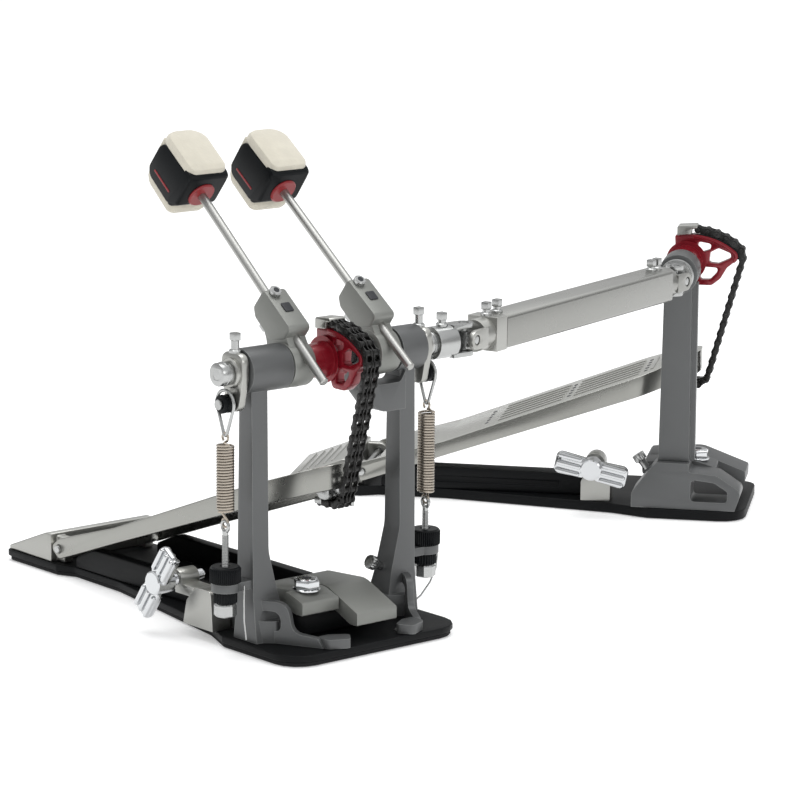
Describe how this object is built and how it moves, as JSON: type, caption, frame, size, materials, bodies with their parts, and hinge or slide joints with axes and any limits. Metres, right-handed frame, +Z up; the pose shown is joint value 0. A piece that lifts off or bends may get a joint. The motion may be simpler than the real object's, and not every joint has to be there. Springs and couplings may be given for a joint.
{
  "type": "bass drum pedal",
  "caption": "Twin bass drum pedal: main pedal with side-by-side beaters, chain-driven cams, return springs and hoop clamp, joined by a telescoping drive shaft to a slave pedal.",
  "frame": {"origin": "on the floor under the main pedal's axle, half way across the main base", "axes": "+X to the player's right along the main axle, +Y towards the drum, +Z up"},
  "size_m": [0.6756, 0.4975, 0.3496],
  "materials": {
    "casting": "satin dark silver casting",
    "black_steel": "satin black powder coat",
    "black_plastic": "semi-matte",
    "rubber": "matte",
    "silver": "satin cast and polished aluminium",
    "chrome": "polished",
    "steel": "zinc plated",
    "cam_red": "crimson anodised",
    "chain": "oiled black steel",
    "felt": "pressed wool felt"
  },
  "bodies": {
    "main_base": {"main_rubber_underlay": "rubber", "main_base_plate": "black_steel", "main_rail_right": "black_steel", "main_rail_left": "black_steel", "main_heel_plate": "silver", "main_hinge_pin": "steel", "main_pillar_right": "casting", "main_pillar_left": "casting", "main_cross_casting": "casting", "main_wing_bracket": "silver", "main_spring_rod": "steel", "secondary_spring_rod": "steel"},
    "main_axle": {"main_axle": "steel", "main_cam": "cam_red", "main_chain_wrap": "chain", "main_beater_hub": "casting", "main_rocker_arm": "silver", "main_spring_roller": "black_plastic"},
    "main_footboard": {"main_footboard": "silver", "main_toe_anchor": "steel"},
    "main_chain_run": {"main_chain_run": "chain"},
    "main_clamp_jaw": {"main_clamp_jaw": "casting", "main_jaw_bolt": "chrome"},
    "main_wing_screw": {"main_wing_screw": "chrome"},
    "secondary_axle": {"secondary_axle": "steel", "secondary_beater_hub": "casting", "secondary_rocker_arm": "silver", "secondary_spring_roller": "black_plastic"},
    "drive_shaft_inner": {"drive_shaft_inner": "silver"},
    "drive_shaft_outer": {"drive_shaft_outer": "silver"},
    "ujoint_cross_main": {"ujoint_cross_main": "steel"},
    "ujoint_cross_slave": {"ujoint_cross_slave": "steel"},
    "slave_base": {"slave_base_plate": "black_steel", "slave_rail": "black_steel", "slave_heel_plate": "silver", "slave_hinge_pin": "steel", "slave_base_casting": "casting", "slave_post": "casting", "slave_wing_bracket": "silver"},
    "slave_axle": {"slave_axle": "steel", "slave_cam": "cam_red", "slave_chain_wrap": "chain"},
    "slave_footboard": {"slave_footboard": "silver"},
    "slave_chain_run": {"slave_chain_run": "chain"},
    "slave_clamp_jaw": {"slave_clamp_jaw": "casting"},
    "slave_wing_screw": {"slave_wing_screw": "chrome"},
    "main_beater_rod": {"main_beater_rod": "chrome"},
    "main_beater_head": {"main_beater_core": "black_plastic", "main_beater_felt_front": "felt", "main_beater_felt_back": "felt"},
    "main_spring": {"main_spring": "steel"},
    "main_spring_link": {"main_spring_link": "steel"},
    "main_tension_nut": {"main_tension_nut": "black_plastic"},
    "secondary_beater_rod": {"secondary_beater_rod": "chrome"},
    "secondary_beater_head": {"secondary_beater_core": "black_plastic", "secondary_beater_felt_front": "felt", "secondary_beater_felt_back": "felt"},
    "secondary_spring": {"secondary_spring": "steel"},
    "secondary_spring_link": {"secondary_spring_link": "steel"},
    "secondary_tension_nut": {"secondary_tension_nut": "black_plastic"}
  },
  "joints": [
    {"name": "main_axle_turn", "type": "hinge", "parent": "main_base", "child": "main_axle", "pos_m": [0, 0, 0.2], "axis": [-1, 0, 0], "range_deg": [0, 48], "stiffness_Nm_per_rad": 0.45, "springref_deg": -45.84},
    {"name": "main_footboard_press", "type": "hinge", "parent": "main_base", "child": "main_footboard", "pos_m": [0, -0.261, 0.02], "axis": [-1, 0, 0], "range_deg": [0, 8.03]},
    {"name": "main_chain_hang", "type": "hinge", "parent": "main_axle", "child": "main_chain_run", "pos_m": [-0.001, 0.04436, 0.21055], "axis": [1, 0, 0], "range_deg": [0, 56.61]},
    {"name": "main_beater_height", "type": "slide", "parent": "main_axle", "child": "main_beater_rod", "axis": [0, -0.7705, 0.6374], "range_m": [-0.012, 0.015]},
    {"name": "main_beater_turn", "type": "hinge", "parent": "main_beater_rod", "child": "main_beater_head", "pos_m": [0.033, -0.12047, 0.32108], "axis": [0, -0.7705, 0.6374], "range_deg": [-180, 180]},
    {"name": "main_spring_swing", "type": "hinge", "parent": "main_base", "child": "main_spring", "pos_m": [0.0915, 0, 0.0965], "axis": [1, 0, 0], "range_deg": [0, 9.95]},
    {"name": "main_spring_stretch", "type": "slide", "parent": "main_spring", "child": "main_spring_link", "axis": [0, 0, 1], "range_m": [0, 0.0084], "deforming": ["main_spring"]},
    {"name": "main_tension_turn", "type": "hinge", "parent": "main_base", "child": "main_tension_nut", "pos_m": [0.0915, 0, 0.059], "axis": [0, 0, 1], "range_deg": [-180, 180]},
    {"name": "secondary_axle_turn", "type": "hinge", "parent": "main_base", "child": "secondary_axle", "pos_m": [0, 0, 0.2], "axis": [-1, 0, 0], "range_deg": [0, 48], "stiffness_Nm_per_rad": 0.6, "springref_deg": -45.84},
    {"name": "secondary_beater_height", "type": "slide", "parent": "secondary_axle", "child": "secondary_beater_rod", "axis": [0, -0.7976, 0.6032], "range_m": [-0.012, 0.015]},
    {"name": "secondary_beater_turn", "type": "hinge", "parent": "secondary_beater_rod", "child": "secondary_beater_head", "pos_m": [-0.045, -0.12564, 0.31571], "axis": [0, -0.7976, 0.6032], "range_deg": [-180, 180]},
    {"name": "secondary_spring_swing", "type": "hinge", "parent": "main_base", "child": "secondary_spring", "pos_m": [-0.0915, 0, 0.0965], "axis": [1, 0, 0], "range_deg": [0, 9.95]},
    {"name": "secondary_spring_stretch", "type": "slide", "parent": "secondary_spring", "child": "secondary_spring_link", "axis": [0, 0, 1], "range_m": [0, 0.0084], "deforming": ["secondary_spring"]},
    {"name": "secondary_tension_turn", "type": "hinge", "parent": "main_base", "child": "secondary_tension_nut", "pos_m": [-0.0915, 0, 0.059], "axis": [0, 0, 1], "range_deg": [-180, 180]},
    {"name": "drive_shaft_inner_turn", "type": "hinge", "parent": "main_base", "child": "drive_shaft_inner", "pos_m": [-0.126, 0, 0.2], "axis": [-0.9593, -0.2824, 0], "range_deg": [0, 46.86]},
    {"name": "main_cross_rock", "type": "hinge", "parent": "drive_shaft_inner", "child": "ujoint_cross_main", "pos_m": [-0.126, 0, 0.2], "axis": [0.2824, -0.9593, 0], "range_deg": [-12.17, 0]},
    {"name": "slave_distance", "type": "slide", "parent": "main_base", "child": "slave_base", "axis": [-0.9593, -0.2824, 0], "range_m": [0, 0.06]},
    {"name": "drive_shaft_outer_turn", "type": "hinge", "parent": "slave_base", "child": "drive_shaft_outer", "pos_m": [-0.42849, -0.08906, 0.2], "axis": [-0.9593, -0.2824, 0], "range_deg": [0, 46.86]},
    {"name": "slave_cross_rock", "type": "hinge", "parent": "drive_shaft_outer", "child": "ujoint_cross_slave", "pos_m": [-0.42849, -0.08906, 0.2], "axis": [0.2824, -0.9593, 0], "range_deg": [0, 17.16]},
    {"name": "slave_axle_turn", "type": "hinge", "parent": "slave_base", "child": "slave_axle", "pos_m": [-0.5082, -0.1543, 0.2], "axis": [-0.7738, -0.6334, 0], "range_deg": [0, 49.2]},
    {"name": "slave_footboard_press", "type": "hinge", "parent": "slave_base", "child": "slave_footboard", "pos_m": [-0.34289, -0.35627, 0.02], "axis": [-0.7738, -0.6334, 0], "range_deg": [0, 8.19]},
    {"name": "slave_chain_hang", "type": "hinge", "parent": "slave_axle", "child": "slave_chain_run", "pos_m": [-0.53629, -0.11997, 0.21055], "axis": [0.7738, 0.6334, 0], "range_deg": [0, 58.11]},
    {"name": "main_wing_turn", "type": "hinge", "parent": "main_base", "child": "main_wing_screw", "pos_m": [0.094, -0.075, 0.0385], "axis": [1, 0, 0], "range_deg": [0, 180]},
    {"name": "main_jaw_open", "type": "hinge", "parent": "main_base", "child": "main_clamp_jaw", "pos_m": [0, -0.024, 0.0335], "axis": [1, 0, 0], "range_deg": [0, 10.1]},
    {"name": "slave_wing_turn", "type": "hinge", "parent": "slave_base", "child": "slave_wing_screw", "pos_m": [-0.40125, -0.15076, 0.0395], "axis": [0.7738, 0.6334, 0], "range_deg": [0, 180]},
    {"name": "slave_jaw_open", "type": "hinge", "parent": "slave_base", "child": "slave_clamp_jaw", "pos_m": [-0.493, -0.17287, 0.0335], "axis": [0.7738, 0.6334, 0], "range_deg": [0, 10.1]}
  ],
  "couplings": [
    {"joint": "main_footboard_press", "follows": "main_axle_turn", "ratio": 0.1663},
    {"joint": "main_chain_hang", "follows": "main_axle_turn", "ratio": 1.1784},
    {"joint": "main_spring_swing", "follows": "main_axle_turn", "ratio": 0.2062},
    {"joint": "main_spring_stretch", "follows": "main_axle_turn", "m_per_rad": 0.009907},
    {"joint": "secondary_spring_swing", "follows": "secondary_axle_turn", "ratio": 0.2062},
    {"joint": "secondary_spring_stretch", "follows": "secondary_axle_turn", "m_per_rad": 0.009907},
    {"joint": "drive_shaft_inner_turn", "follows": "secondary_axle_turn", "ratio": 0.9753},
    {"joint": "main_cross_rock", "follows": "secondary_axle_turn", "ratio": -0.2524},
    {"joint": "drive_shaft_outer_turn", "follows": "secondary_axle_turn", "ratio": 0.9753},
    {"joint": "slave_cross_rock", "follows": "secondary_axle_turn", "ratio": 0.3565},
    {"joint": "slave_axle_turn", "follows": "secondary_axle_turn", "ratio": 1.024},
    {"joint": "slave_footboard_press", "follows": "secondary_axle_turn", "ratio": 0.1696},
    {"joint": "slave_chain_hang", "follows": "secondary_axle_turn", "ratio": 1.2096},
    {"joint": "main_jaw_open", "follows": "main_wing_turn", "ratio": 0.055556},
    {"joint": "slave_jaw_open", "follows": "slave_wing_turn", "ratio": 0.055556}
  ]
}
